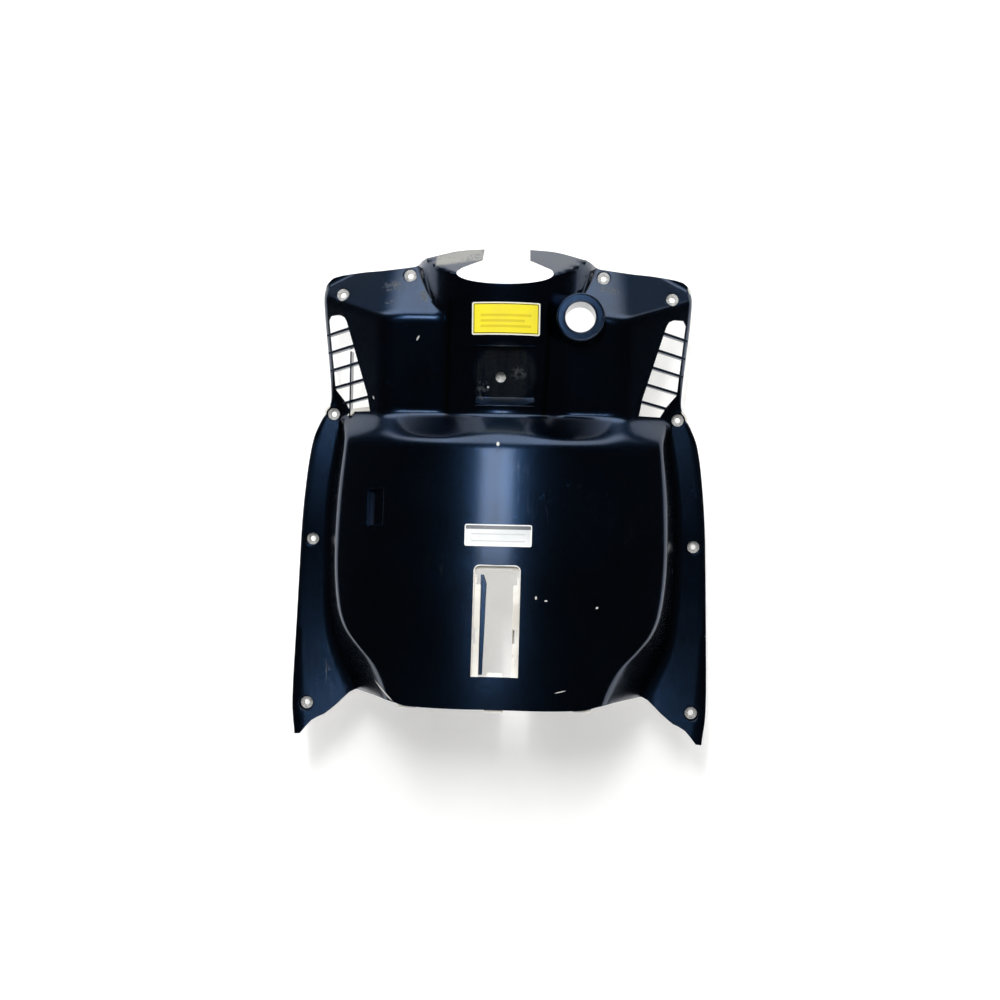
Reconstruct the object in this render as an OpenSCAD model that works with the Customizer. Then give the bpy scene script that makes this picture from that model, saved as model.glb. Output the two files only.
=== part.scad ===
// Inner leg shield panel of a scooter: one moulded plastic sheet with two stuck-on labels.
// X runs across the scooter, Z runs up, and the painted side faces the rider, towards -Y.
// The origin lies midway between the two middle screw holes, in the wall that they go
// through. Heights that stand out towards the rider are measured from the plane of the
// flanges, which lies seat_y in front of the origin.

/* [Outline] */
// Width across the flanges at the middle screws
flange_w = 404; // [398:1:412]
// Width across the wing tips
wing_w = 367; // [363:1:372]
// Width at the waist between flanges and wings
waist_w = 352; // [350:1:356]
// Drop from the middle screws to the foot tips
foot_drop = 190; // [184:1:198]
// Drop from the middle screws to the lower edge of the bulge
apron_drop = 144; // [138:1:148]
// Height of the horn tips on either side of the steering notch
horn_h = 289; // [285:1:294]
// Height of the wing tops
wing_h = 268; // [265:1:272]
// Wall of the moulded sheet
sheet_t = 2.5; // [2:0.1:3]

/* [Bulge] */
// How far the bulge stands out at the level of the middle screws
bulge_out = 95; // [88:1:102]
// How much further it stands out for each millimetre down
bulge_lean = 0.19; // [0.16:0.01:0.22]
// Radius of the bulge's front across the scooter
bulge_r = 240; // [225:5:260]
// Width over the front edges of the bulge
bulge_w = 317; // [312:1:320]
// Width over the foot of the bulge's side walls
bulge_foot_w = 346; // [342:1:350]
// Height of the shoulder that ends the bulge
shoulder_h = 100; // [96:1:104]

/* [Upper block] */
// Height at which the wing fronts and the neck rise from the shoulder
block_h = 126; // [124:1:130]
// How far the wing fronts stand out at their foot
wing_out = 30; // [26:1:34]
// How far the neck stands out at its foot
neck_out = 50; // [47:1:54]
// How much further the upper block stands out for each millimetre up
block_lean = 0.2; // [0.16:0.01:0.24]
// Radius of the neck around the steering column
neck_r = 90; // [84:1:96]
// Half width at which the wing front turns into the vented side
ridge_x = 115; // [112:1:117]
// Fall of the vented side for each millimetre outwards
side_fall = 0.8; // [0.74:0.01:0.86]
// Height of the front edge of the wing shelf
shelf_h = 219; // [216:1:222]
// Fall of the shelf for each millimetre up
shelf_fall = 0.7; // [0.64:0.01:0.76]
// Fall of the shelf for each millimetre outwards, past the ridge
shelf_skew = 0.45; // [0.38:0.01:0.5]
// Height of the collar on the centre line
collar_h = 249; // [246:1:252]
// Fall of the collar for each millimetre up
collar_fall = 1.5; // [1.3:0.05:1.7]
// Half width of the steering notch
notch_x = 46; // [43:1:48]
// Half width of the gap between the horn tips
horn_gap = 22; // [18:1:26]

/* [Vents] */
// Number of slats in each vent
slats = 5; // [3:1:6]
// Height of a slat's front edge
slat_t = 2.8; // [2.2:0.2:4]
// Depth of a slat behind the face of the sheet
slat_depth = 7; // [5:0.5:9]
// Pitch of the slats
slat_pitch = 16.8; // [15.5:0.1:18]
// Height of the top slat at its inner end
slat_top = 209; // [206:0.5:212]

/* [Screw wells] */
// Distance of the wing tip screws from the wing tips
tip_screw_in = 20; // [18:0.5:22]
// Height of the wing tip screws
tip_screw_z = 244; // [241:0.5:247]
// Half width over the top screws
top_screw_x = 95; // [93:0.5:99]
// Height of the top screws
top_screw_z = 262; // [258:0.5:263]
// Distance of the vent screws from the edge of the waist
vent_screw_in = 3; // [1:0.5:4]
// Height of the vent screws
vent_screw_z = 126; // [123:0.5:128]
// Distance of the middle screws from the edge of the flanges
side_screw_in = 11.5; // [10:0.5:13]
// Distance of the foot screws from the edge of the flanges
foot_screw_in = 13; // [11.5:0.5:15]
// Drop from the middle screws to the foot screws
foot_screw_drop = 161; // [158:0.5:164]
// Radius of a well
well_r = 7.2; // [6.6:0.1:7.6]
// Depth of the seat at the bottom of a well
well_depth = 6; // [4.5:0.5:7]
// Radius of a screw hole
screw_r = 2.7; // [2.2:0.1:3.2]

/* [Lock and hook] */
// Offset of the lock from the centre line
lock_x = 72; // [70:0.5:76]
// Height of the lock
lock_z = 217; // [213:0.5:220]
// Radius of the lock's bore
lock_r = 14.5; // [13.5:0.5:15.5]
// Radius of the lock boss at its face
lock_boss_r = 22.5; // [21:0.5:24]
// How far the lock boss stands out
lock_out = 67; // [64:1:72]
// Width of the hook recess
recess_w = 56; // [50:1:58]
// Height of the hook recess
recess_h = 50; // [46:1:53]
// Height of the foot of the hook recess
recess_z = 140; // [138:0.5:143]
// Depth of the hook recess below the neck's front line
recess_depth = 9; // [8:0.5:11]
// Radius of the hook's hole
hook_r = 5; // [4:0.1:6]

/* [Slot and pocket] */
// Width of the service slot
slot_w = 42; // [38:1:46]
// Height of the service slot
slot_h = 101; // [94:1:106]
// Drop from the middle screws to the top of the slot
slot_drop = 16; // [13:0.5:19]
// Width of the ledge along the slot
ledge_w = 6; // [4:0.5:8]
// Depth of the ledge below the painted face
ledge_depth = 4; // [3:0.5:6]
// Depth of the slot's walls
slot_wall = 14; // [11:0.5:18]
// Distance of the side pocket from the centre line, on the left
pocket_out = 119; // [114:0.5:124]
// Height of the middle of the side pocket
pocket_z = 35; // [28:0.5:42]
// Width of the side pocket
pocket_w = 17.5; // [14:0.5:20]
// Height of the side pocket
pocket_h = 35.5; // [30:0.5:40]
// Depth of the side pocket
pocket_depth = 6; // [4:0.5:8]

/* [Tabs and lips] */
// Distance of the outer tabs under the lower edge from the centre line
tab_x = 81; // [76:1:86]
// Width of a tab
tab_w = 17; // [13:0.5:20]
// Length of the turned lip on a flange
lip_w = 22; // [18:1:24]
// Depth of the turned lip
lip_depth = 9; // [7:0.5:11]

/* [Labels] */
// Height of the middle of the label on the neck
neck_label_z = 214.5; // [210:0.5:219]
// Width of the label on the neck
neck_label_w = 64; // [56:1:68]
// Height of the label on the neck
neck_label_h = 30; // [24:1:32]
// Height of the middle of the label above the slot
slot_label_z = 11.5; // [8:0.5:20]
// Width of the label above the slot
slot_label_w = 62; // [52:1:70]
// Height of the label above the slot
slot_label_h = 20; // [14:1:22]
// Thickness of the label film
film_t = 0.3; // [0.2:0.1:0.6]

/* [Hidden] */
paint = [0.035, 0.05, 0.10];
film_gap = 0.15;            // the adhesive between a label and the sheet
crease = 5;                 // width over which two faces blend
wall_blend = 7;             // the same at the edge of the bulge
panel_offset = 2;           // the hook recess and the neck label sit this far right
boss_wall = 2;              // wall of a screw boss and of the slot's frame

// A smooth curve through [t, value] points, level beyond its ends.
function seg(p, t, i = 0) = i >= len(p) - 2 || t < p[i + 1][0] ? i : seg(p, t, i + 1);
function tangent(p, i) =
    let (a = max(0, i - 1), b = min(len(p) - 1, i + 1))
    (p[b][1] - p[a][1]) / (p[b][0] - p[a][0]);
function curve(p, t) =
    let (s = min(max(t, p[0][0]), p[len(p) - 1][0]), i = seg(p, s))
    let (w = p[i + 1][0] - p[i][0], u = (s - p[i][0]) / w, v = 1 - u)
    p[i][1] * (1 + 2 * u) * v * v + tangent(p, i) * w * u * v * v
    + p[i + 1][1] * (3 - 2 * u) * u * u - tangent(p, i + 1) * w * u * u * v;

// The larger or the smaller of two heights, with the crease between them rounded over k.
function soft(a, b, k) = pow(max(k - abs(a - b), 0), 2) / (4 * k);
function smax(a, b, k = crease) = max(a, b) + soft(a, b, k);
function smin(a, b, k = crease) = min(a, b) - soft(a, b, k);

// Half widths of the outline, of the bulge's foot and of its front edge, by height.
edge_pts = [[-foot_drop, flange_w / 2 - 3.5], [-foot_screw_drop, flange_w / 2 + 1],
    [-100, flange_w / 2 + 2], [0, flange_w / 2], [59, flange_w / 2 - 4],
    [99, flange_w / 2 - 9.5], [block_h - 9, waist_w / 2 + 10], [block_h + 9, waist_w / 2 + 1],
    [block_h + 20, waist_w / 2], [190, wing_w / 2 - 3.5], [225, wing_w / 2 - 0.5],
    [tip_screw_z + 5, wing_w / 2], [wing_h, wing_w / 2 - 3]];
foot_pts = [[-apron_drop - 3, bulge_foot_w / 2 - 33], [-108, bulge_foot_w / 2 - 11.5],
    [-82, bulge_foot_w / 2 - 4], [-40, bulge_foot_w / 2], [40, bulge_foot_w / 2],
    [shoulder_h, bulge_foot_w / 2 - 8]];
front_pts = [[-apron_drop, bulge_w / 2 - 61], [-125, bulge_w / 2 - 53],
    [-110, bulge_w / 2 - 43], [-97, bulge_w / 2 - 29], [-82, bulge_w / 2 - 15],
    [-62, bulge_w / 2 - 6], [-20, bulge_w / 2], [40, bulge_w / 2],
    [shoulder_h, bulge_w / 2 - 4]];
function edge_x(z) = curve(edge_pts, z);
function foot_x(z) = curve(foot_pts, z);
function front_x(z) = curve(front_pts, z);

// The lower and the upper edge of the sheet, by distance from the centre line.
low_pts = [[0, -apron_drop], [80, -apron_drop - 1], [98, -apron_drop + 2],
    [flange_w / 2 - 70, -apron_drop - 1], [flange_w / 2 - 56, -apron_drop - 4],
    [flange_w / 2 - 42, -foot_screw_drop], [flange_w / 2 - 29, -foot_screw_drop - 10],
    [flange_w / 2 - 18, -foot_screw_drop - 15], [flange_w / 2 - 3.5, -foot_drop]];
high_pts = [[horn_gap, horn_h], [45, horn_h - 3], [70, horn_h - 12], [80, horn_h - 15],
    [90, wing_h + 3], [119, wing_h], [150, wing_h - 1], [wing_w / 2 - 9, wing_h - 5],
    [wing_w / 2 - 2, wing_h - 12], [wing_w / 2, wing_h - 18]];

// How far each face stands out at x, z.
function flange_d(z) =
    z < 0 ? 0.0009 * z * z : -0.0005 * z * z + 0.0010 * pow(max(0, z - block_h), 2);
function rim_d(x, z) = -0.15 * pow(max(0, x - edge_x(z) + 4), 2);
function crown_d(x, z) = bulge_out - bulge_lean * z - x * x / (2 * bulge_r);
function arc_d(x) = neck_r - sqrt(max(9, neck_r * neck_r - x * x));
function neck_d(x, z) = neck_out + block_lean * (z - block_h) - arc_d(x);
function wing_d(x, z) = wing_out + block_lean * (z - block_h);
function side_d(x, z) = wing_d(x, z) - side_fall * (x - ridge_x);
function shelf_d(x, z) =
    wing_d(x, shelf_h) - shelf_fall * (z - shelf_h) - shelf_skew * smax(0, x - ridge_x + 8, 14);
function collar_d(x, z) = neck_d(0, collar_h) - collar_fall * (z - collar_h);
function block_d(x, z) =
    smax(smin(smin(wing_d(x, z), side_d(x, z), 8), shelf_d(x, z), crease),
        smin(neck_d(x, z), collar_d(x, z), 2), crease);
function wall_d(x, z) =
    let (f = foot_x(z), e = front_x(z), low = flange_d(z))
    low + (f - x) / (f - e) * (crown_d(e, z) - low);
function shoulder_d(x, z) =
    let (c = crown_d(x, shoulder_h), b = max(block_d(x, block_h), flange_d(block_h)))
    c - (z - shoulder_h) * (c - b) / (block_h - shoulder_h);
function bulge_d(x, z) =
    smin(smin(crown_d(x, z), shoulder_d(x, z), wall_blend), wall_d(x, z), wall_blend);
function face_d(x, z) =
    let (a = abs(x))
    let (low = smax(flange_d(z), bulge_d(a, z), crease))
    rim_d(a, z) + (z < block_h - 12 ? low : smax(low, block_d(a, z), crease));
function slope(x, z) =
    [(face_d(x + 1, z) - face_d(x - 1, z)) / 2, (face_d(x, z + 1) - face_d(x, z - 1)) / 2];
function back_d(x, z) =
    let (g = slope(x, z)) face_d(x, z) - sheet_t * min(3, sqrt(1 + g * g));

// The net of the sheet: columns follow the outline, the wall of the bulge and the ridges.
steps = [3, 2, 3, 3, 4];    // columns between the lines that the net follows, from the edge in
levels = [16, 3, 8, 5];    // rows between the levels that it follows, from below
function upper(z) = min(1, max(0, (z - shoulder_h) / (block_h - shoulder_h)));
function line_x(k, z) =
    k == 0 ? edge_x(z)
    : k == 1 ? foot_x(z) * (1 - upper(z)) + (edge_x(z) - 10) * upper(z)
    : k == 2 ? front_x(z) * (1 - upper(z)) + 144 * upper(z)
    : k == 3 ? min(ridge_x, line_x(2, z) - 14)
    : k == 4 ? neck_x(z) : 0;
function neck_x(z) =
    let (rise = max(0, z - shelf_h), deep = neck_out - wing_out + (block_lean + shelf_fall) * rise)
    sqrt(pow(neck_r, 2) - pow(max(0, neck_r - deep), 2));
function line_of(j, k = 0) = j <= steps[k] || k == len(steps) - 1 ? [k, j / steps[k]]
    : line_of(j - steps[k], k + 1);
half = steps * [1, 1, 1, 1, 1];
function col_x(j, z) =
    j > half ? -col_x(2 * half - j, z)
    : let (l = line_of(j)) line_x(l[0], z) * (1 - l[1]) + line_x(l[0] + 1, z) * l[1];
function shelf_z(x) = x < neck_x(0) - 1 ? collar_h + arc_d(x) / (block_lean + collar_fall)
    : shelf_h + 22 * max(0, x - ridge_x) / (wing_w / 2 - ridge_x);
function stops(j) =
    [curve(low_pts, abs(col_x(j, -apron_drop))), shoulder_h, block_h,
        shelf_z(abs(col_x(j, shelf_h))), curve(high_pts, abs(col_x(j, wing_h - 8)))];
cols = [for (j = [0 : 2 * half]) stops(j)];
spots = [for (k = [0 : len(levels) - 1]) for (i = [0 : levels[k] - 1]) [k, i / levels[k]]];
rows = concat(spots, [[len(levels) - 1, 1]]);
function net_z(j, r) = cols[j][r[0]] * (1 - r[1]) + cols[j][r[0] + 1] * r[1];

// A closed skin between two sheets of points, each with m rows of n points.
function skin_faces(m, n) =
    let (o = m * n)
    concat(
        [for (i = [0 : m - 2]) for (j = [0 : n - 2]) let (a = i * n + j)
            each [[a, a + 1, a + n], [a + 1, a + n + 1, a + n]]],
        [for (i = [0 : m - 2]) for (j = [0 : n - 2]) let (a = o + i * n + j)
            each [[a, a + n, a + 1], [a + 1, a + n, a + n + 1]]],
        [for (j = [0 : n - 2]) let (a = j, b = (m - 1) * n + j)
            each [[a, a + o, a + 1], [a + 1, a + o, a + 1 + o],
                [b, b + 1, b + o], [b + 1, b + 1 + o, b + o]]],
        [for (i = [0 : m - 2]) let (a = i * n, b = i * n + n - 1)
            each [[a, a + n, a + o], [a + n, a + n + o, a + o],
                [b, b + o, b + n], [b + n, b + o, b + n + o]]]);

module sheet() {
    n = 2 * half + 1;
    front = [for (r = rows) for (j = [0 : n - 1])
        let (z = net_z(j, r), x = col_x(j, z)) [x, -face_d(x, z), z]];
    back = [for (r = rows) for (j = [0 : n - 1])
        let (z = net_z(j, r), x = col_x(j, z)) [x, -back_d(x, z), z]];
    polyhedron(concat(front, back), skin_faces(len(rows), n));
}

// A slab drawn in the plane of x and z, from depth a to depth b behind the local face.
module slab(a, b) {
    translate([0, b, 0]) rotate([90, 0, 0]) linear_extrude(b - a) children();
}

// A round peg along Y that stands out from a to b.
module peg(x, z, r, a, b) {
    translate([x, -a, z]) rotate([90, 0, 0]) cylinder(r = r, h = b - a);
}

// Local frames on the painted face: Y points straight into the sheet there.
module tilted(g) {
    rotate([atan(g[1]), 0, 0]) rotate([0, 0, atan(-g[0] / sqrt(1 + g[1] * g[1]))]) children();
}

module on_face(x, z) {
    translate([x, -face_d(x, z), z]) tilted(slope(x, z)) children();
}

module on_side() {
    translate([ridge_x, -wing_d(0, block_h), block_h]) tilted([-side_fall, block_lean]) children();
}

module on_neck(x, z) {
    translate([x, -neck_d(0, z), z]) tilted([0, block_lean]) children();
}

module on_bulge(x, z) {
    translate([x, -crown_d(x, z), z]) tilted([0, -bulge_lean]) children();
}

module mirrored() {
    children();
    mirror([1, 0, 0]) children();
}

// Ten screw wells: a boss behind the sheet, a well from the front and a hole in its seat.
tip_screw_x = wing_w / 2 - tip_screw_in;
vent_screw_x = waist_w / 2 - vent_screw_in;
side_screw_x = flange_w / 2 - side_screw_in;
foot_screw_x = flange_w / 2 - foot_screw_in;
screws = [[tip_screw_x, tip_screw_z], [top_screw_x, top_screw_z],
    [vent_screw_x, vent_screw_z], [side_screw_x, 0], [foot_screw_x, -foot_screw_drop]];
function seat_d(s) = face_d(s[0], s[1]) - well_depth;

module screw_bosses() {
    for (s = screws) mirrored() intersection() {
        peg(s[0], s[1], well_r + boss_wall, seat_d(s) - sheet_t, seat_d(s) + 20);
        on_face(s[0], s[1]) translate([-30, sheet_t / 2, -30]) cube([60, 60, 60]);
    }
}

module screw_cuts() {
    for (s = screws) mirrored() {
        peg(s[0], s[1], well_r, seat_d(s), seat_d(s) + 30);
        peg(s[0], s[1], screw_r, seat_d(s) - 20, seat_d(s) + 1);
    }
}

// The vent window follows the ridge on its inner side and the outline on its outer side.
function vent_in(z) = ridge_x + 42 - (215 - z) * 0.31;
function vent_out(z) = edge_x(z) - 5;
module vent_window() {
    polygon(concat([[vent_in(215) + 8, 223], [vent_in(215) + 3, 220.5]],
        [for (z = [216 : -18 : 144]) [vent_in(z), z]],
        [[vent_in(135), 128], [vent_in(135) + 22, 128], [vent_out(139) - 10, 139]],
        [for (z = [151 : 17 : 219]) [vent_out(z), z]], [[vent_out(222) - 3, 223.5]]));
}

module vent_slats() {
    intersection() {
        slab(-80, 80) for (k = [0 : slats - 1]) {
            z = slat_top - k * slat_pitch;
            w = vent_out(z - 5) - vent_in(z);
            translate([vent_in(z), z]) rotate(-11) translate([-3, -slat_t / 2])
                square([w + 6, slat_t]);
        }
        on_side() translate([-20, sheet_t / 4, -30]) cube([130, slat_depth, 150]);
    }
}

// The steering notch between the two horns.
module notch_shape() {
    low = collar_h + 9;
    polygon(concat([for (a = [0 : 15 : 180]) [notch_x * cos(a), low - 12 * sin(a)]],
        [[-notch_x + 1.5, low + 5], [-horn_gap - 1, low + 17], [-horn_gap, horn_h + 9],
            [horn_gap, horn_h + 9], [horn_gap + 1, low + 17], [notch_x - 1.5, low + 5]]));
}

// The lock boss stands on the right of the neck.
module lock_axis() {
    translate([lock_x, 0, lock_z]) rotate([90, 0, 0]) children();
}

module lock_boss() {
    back = wing_d(0, lock_z) - 22;
    lock_axis() translate([0, 0, back]) cylinder(r1 = lock_boss_r + 4, r2 = lock_boss_r,
        h = lock_out - back);
}

module lock_bore() {
    lock_axis() cylinder(r = lock_r, h = lock_out + 1);
}

// The hook recess in the neck: a flat face with a bevelled foot.
module recess_backing() {
    out = recess_w / 2 + boss_wall;
    on_neck(panel_offset, recess_z) intersection() {
        translate([-out, 0, -8 - boss_wall])
            cube([2 * out, recess_depth + sheet_t, recess_h + 8 + 2 * boss_wall]);
        translate([-panel_offset, neck_r, -20]) cylinder(r = neck_r - sheet_t / 2, h = 100, $fn = 96);
    }
}

module recess_cut() {
    on_neck(panel_offset, recess_z) {
        translate([-recess_w / 2, -10, 0]) cube([recess_w, 10 + recess_depth, recess_h]);
        translate([-recess_w / 2, 0, 0]) rotate([90, 0, 90]) linear_extrude(recess_w)
            polygon([[-10, 1], [recess_depth, 1], [recess_depth, 0], [0, -7], [-10, -7]]);
        translate([-4.5, 0, 19.5]) rotate([-90, 0, 0]) cylinder(r = hook_r, h = 30);
    }
}

// The service slot, drawn from its top edge down.
module slot_shape(grow = 0) {
    w = slot_w + 2 * grow;
    h = slot_h + 2 * grow;
    r = 5 + grow;
    translate([-w / 2, -slot_h - grow]) {
        square([w, h - r]);
        translate([r, 0]) square([w - 2 * r, h]);
        for (x = [r, w - r]) translate([x, h - r]) circle(r);
    }
}

module slot_walls() {
    in = slot_w / 2 - ledge_w;
    low = ledge_depth + boss_wall;
    on_bulge(0, -slot_drop) {
        slab(sheet_t * 0.7, low) difference() {
            slot_shape(boss_wall);
            slot_shape();
        }
        slab(ledge_depth, low) {
            for (x = [-slot_w / 2 - 1, in]) translate([x, -slot_h]) square([ledge_w + 1, slot_h - 17]);
            translate([-slot_w / 2, -4]) square([slot_w, 5]);
            translate([-7, -slot_h - 1]) square([14, 5]);
        }
        slab(ledge_depth, slot_wall)
            for (x = [-in - boss_wall, in]) translate([x, -slot_h]) square([boss_wall, slot_h - 17]);
    }
}

module slot_cut() {
    on_bulge(0, -slot_drop) slab(-20, 60) slot_shape();
}

// A shallow blind pocket on the left of the bulge.
module pocket_backing() {
    on_face(-pocket_out, pocket_z) translate([-pocket_w / 2 - boss_wall, sheet_t / 2, -pocket_h / 2 - boss_wall])
        cube([pocket_w + 2 * boss_wall, pocket_depth + sheet_t / 2, pocket_h + 2 * boss_wall]);
}

module pocket_cut() {
    on_face(-pocket_out, pocket_z) translate([-pocket_w / 2, -10, -pocket_h / 2])
        cube([pocket_w, 10 + pocket_depth, pocket_h]);
}

// Unpainted tabs under the lower edge, and the turned lips of the two flanges.
module edge_tabs() {
    for (x = [-tab_x, 0, tab_x]) on_face(x, -apron_drop + 6)
        slab(sheet_t / 2, sheet_t * 2) translate([-tab_w / 2, -10.5]) square([tab_w, 12]);
    mirrored() on_face(foot_screw_x - 23, -foot_screw_drop) slab(sheet_t / 2, lip_depth)
        translate([-10, 4.5]) rotate(-43) square([lip_w, sheet_t]);
}

module inner_panel() color(paint) {
    difference() {
        union() {
            difference() {
                sheet();
                slot_cut();
                mirrored() slab(-80, 80) vent_window();
            }
            screw_bosses();
            lock_boss();
            recess_backing();
            pocket_backing();
            slot_walls();
            mirrored() vent_slats();
            edge_tabs();
        }
        screw_cuts();
        lock_bore();
        recess_cut();
        pocket_cut();
        slab(-120, 60) notch_shape();
    }
}

// A film bent over the painted face, centred at x, z.
module film(x, z, w, h) {
    m = 5;
    n = 13;
    at = [for (i = [0 : m - 1]) for (j = [0 : n - 1])
        [x + w * (j / (n - 1) - 0.5), z + h * (i / (m - 1) - 0.5)]];
    polyhedron(concat(
        [for (p = at) [p[0], -face_d(p[0], p[1]) - film_gap - film_t, p[1]]],
        [for (p = at) [p[0], -face_d(p[0], p[1]) - film_gap, p[1]]]), skin_faces(m, n));
}

module neck_label() color([0.93, 0.82, 0.12]) {
    film(panel_offset, neck_label_z, neck_label_w, neck_label_h);
}

module slot_label() color([0.8, 0.8, 0.78]) {
    film(0, slot_label_z, slot_label_w, slot_label_h);
}

// The flange plane lies this far in front of the middle of the screws' seats.
seat_y = well_depth + sheet_t / 2;
translate([0, -seat_y, 0]) {
    inner_panel();
    neck_label();
    slot_label();
}
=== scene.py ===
# %% [markdown]
# # Inner leg shield panel of a scooter
# One moulded plastic sheet, lacquered dark navy on the rider's side and left raw behind, with
# two stuck-on films. The construction is loaded first, as a fixed frame in metres; nothing in
# it is moved.

# %% Load the frame
import math

import bmesh
import bpy
import numpy as np
from mathutils import Matrix, Vector


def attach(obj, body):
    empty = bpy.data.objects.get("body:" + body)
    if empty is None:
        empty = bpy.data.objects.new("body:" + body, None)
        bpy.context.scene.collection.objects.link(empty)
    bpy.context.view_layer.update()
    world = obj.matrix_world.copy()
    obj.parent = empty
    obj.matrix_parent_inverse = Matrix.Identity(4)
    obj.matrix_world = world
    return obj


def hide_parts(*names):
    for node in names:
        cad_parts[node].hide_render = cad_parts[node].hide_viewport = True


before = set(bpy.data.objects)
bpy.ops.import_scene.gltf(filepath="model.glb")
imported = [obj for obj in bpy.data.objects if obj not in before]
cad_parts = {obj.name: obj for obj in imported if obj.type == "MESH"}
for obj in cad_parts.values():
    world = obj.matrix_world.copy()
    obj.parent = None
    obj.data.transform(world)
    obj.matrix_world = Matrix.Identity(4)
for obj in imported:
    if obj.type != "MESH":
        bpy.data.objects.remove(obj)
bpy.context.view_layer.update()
MM = 0.001

# %% [markdown]
# The camera stands a little to the rider's right, level with the middle of the panel, about an
# arm's length and a half away. The picture leans by a degree, so the camera is rolled. All of
# this is worked out before any surface is made, because the look of gloss paint depends on where
# it is seen from.

# %% Camera
SEAT_Y = 7.25  # the origin lies this far behind the plane of the flanges
TARGET = Vector((-2.64, -SEAT_Y, 42.87)) * MM
AZIMUTH, ELEVATION, ROLL = math.radians(2.28), math.radians(0.88), math.radians(1.2)
DISTANCE, WIDTH, SENSOR = 1.21, 0.9965, 36.0
away = Vector((math.sin(AZIMUTH) * math.cos(ELEVATION), -math.cos(AZIMUTH) * math.cos(ELEVATION),
               math.sin(ELEVATION)))
right = Vector((math.cos(AZIMUTH), math.sin(AZIMUTH), 0.0))
up = away.cross(right)
right, up = right * math.cos(ROLL) + up * math.sin(ROLL), up * math.cos(ROLL) - right * math.sin(ROLL)
cam_data = bpy.data.cameras.new("camera")
cam_data.sensor_width = SENSOR
cam_data.lens = SENSOR * DISTANCE / WIDTH
camera = bpy.data.objects.new("camera", cam_data)
bpy.context.collection.objects.link(camera)
pose = Matrix.Identity(4)
for i, axis in enumerate((right, up, away)):
    for k in range(3):
        pose[k][i] = axis[k]
pose.translation = TARGET + away * DISTANCE
camera.matrix_world = pose
bpy.context.scene.camera = camera
print("camera at", [round(v, 3) for v in pose.translation], "lens", round(cam_data.lens, 1), "mm")

# %% [markdown]
# The panel is drawn as a height over the plane of its flanges: at every place across (x) and
# up (z) a formula says how far the painted face stands out. Every face of the panel is one
# such formula, and where two faces meet, the larger or the smaller one wins, with the crease
# rounded. The numbers are the construction's own sizes, in millimetres.

# %% Sizes
FLANGE_W, WING_W, WAIST_W = 404.0, 367.0, 352.0
FOOT_DROP, APRON_DROP, HORN_H, WING_H, SHEET_T = 190.0, 144.0, 289.0, 268.0, 2.5
BULGE_OUT, BULGE_LEAN, BULGE_R, BULGE_W, BULGE_FOOT_W = 95.0, 0.19, 240.0, 317.0, 346.0
SHOULDER_H, BLOCK_H, WING_OUT, NECK_OUT, BLOCK_LEAN = 100.0, 126.0, 30.0, 50.0, 0.2
NECK_R, RIDGE_X, SIDE_FALL, SHELF_H, SHELF_FALL, SHELF_SKEW = 90.0, 115.0, 0.8, 219.0, 0.7, 0.45
COLLAR_H, COLLAR_FALL, NOTCH_X, HORN_GAP = 249.0, 1.5, 46.0, 22.0
FOOT_SCREW_DROP, TIP_SCREW_Z = 161.0, 244.0
RIM_ROLL = 0.15  # how fast the outline's last 4 mm roll off
SCREWS = [(163.5, TIP_SCREW_Z), (95.0, 262.0), (173.0, 126.0), (190.5, 0.0), (189.0, -FOOT_SCREW_DROP)]
WELL_R, WELL_DEPTH, SCREW_R = 7.2, 6.0, 2.7
CREASE, WALL_BLEND = 5.0, 7.0


def curve(points, t):
    """A smooth curve through (t, value) points, level beyond its ends."""
    p = np.array(points, float)
    w = np.diff(p[:, 0])
    idx = np.arange(len(p))
    lo, hi = np.maximum(idx - 1, 0), np.minimum(idx + 1, len(p) - 1)
    slope = (p[hi, 1] - p[lo, 1]) / (p[hi, 0] - p[lo, 0])
    s = np.clip(t, p[0, 0], p[-1, 0])
    i = np.clip(np.searchsorted(p[:, 0], s, side="right") - 1, 0, len(p) - 2)
    u = (s - p[i, 0]) / w[i]
    v = 1 - u
    return (p[i, 1] * (1 + 2 * u) * v * v + slope[i] * w[i] * u * v * v
            + p[i + 1, 1] * (3 - 2 * u) * u * u - slope[i + 1] * w[i] * u * u * v)


def smax(a, b, k=CREASE):
    return np.maximum(a, b) + np.maximum(k - np.abs(a - b), 0) ** 2 / (4 * k)


def smin(a, b, k=CREASE):
    return np.minimum(a, b) - np.maximum(k - np.abs(a - b), 0) ** 2 / (4 * k)


# %% Outline, bulge foot and bulge edge
EDGE = [(-FOOT_DROP, FLANGE_W / 2 - 3.5), (-FOOT_SCREW_DROP, FLANGE_W / 2 + 1), (-100, FLANGE_W / 2 + 2),
        (0, FLANGE_W / 2), (59, FLANGE_W / 2 - 4), (99, FLANGE_W / 2 - 9.5),
        (BLOCK_H - 9, WAIST_W / 2 + 10), (BLOCK_H + 9, WAIST_W / 2 + 1), (BLOCK_H + 20, WAIST_W / 2),
        (190, WING_W / 2 - 3.5), (225, WING_W / 2 - 0.5), (TIP_SCREW_Z + 5, WING_W / 2),
        (WING_H, WING_W / 2 - 3)]
FOOT = [(-APRON_DROP - 3, BULGE_FOOT_W / 2 - 33), (-108, BULGE_FOOT_W / 2 - 11.5),
        (-82, BULGE_FOOT_W / 2 - 4), (-40, BULGE_FOOT_W / 2), (40, BULGE_FOOT_W / 2),
        (SHOULDER_H, BULGE_FOOT_W / 2 - 8)]
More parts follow.
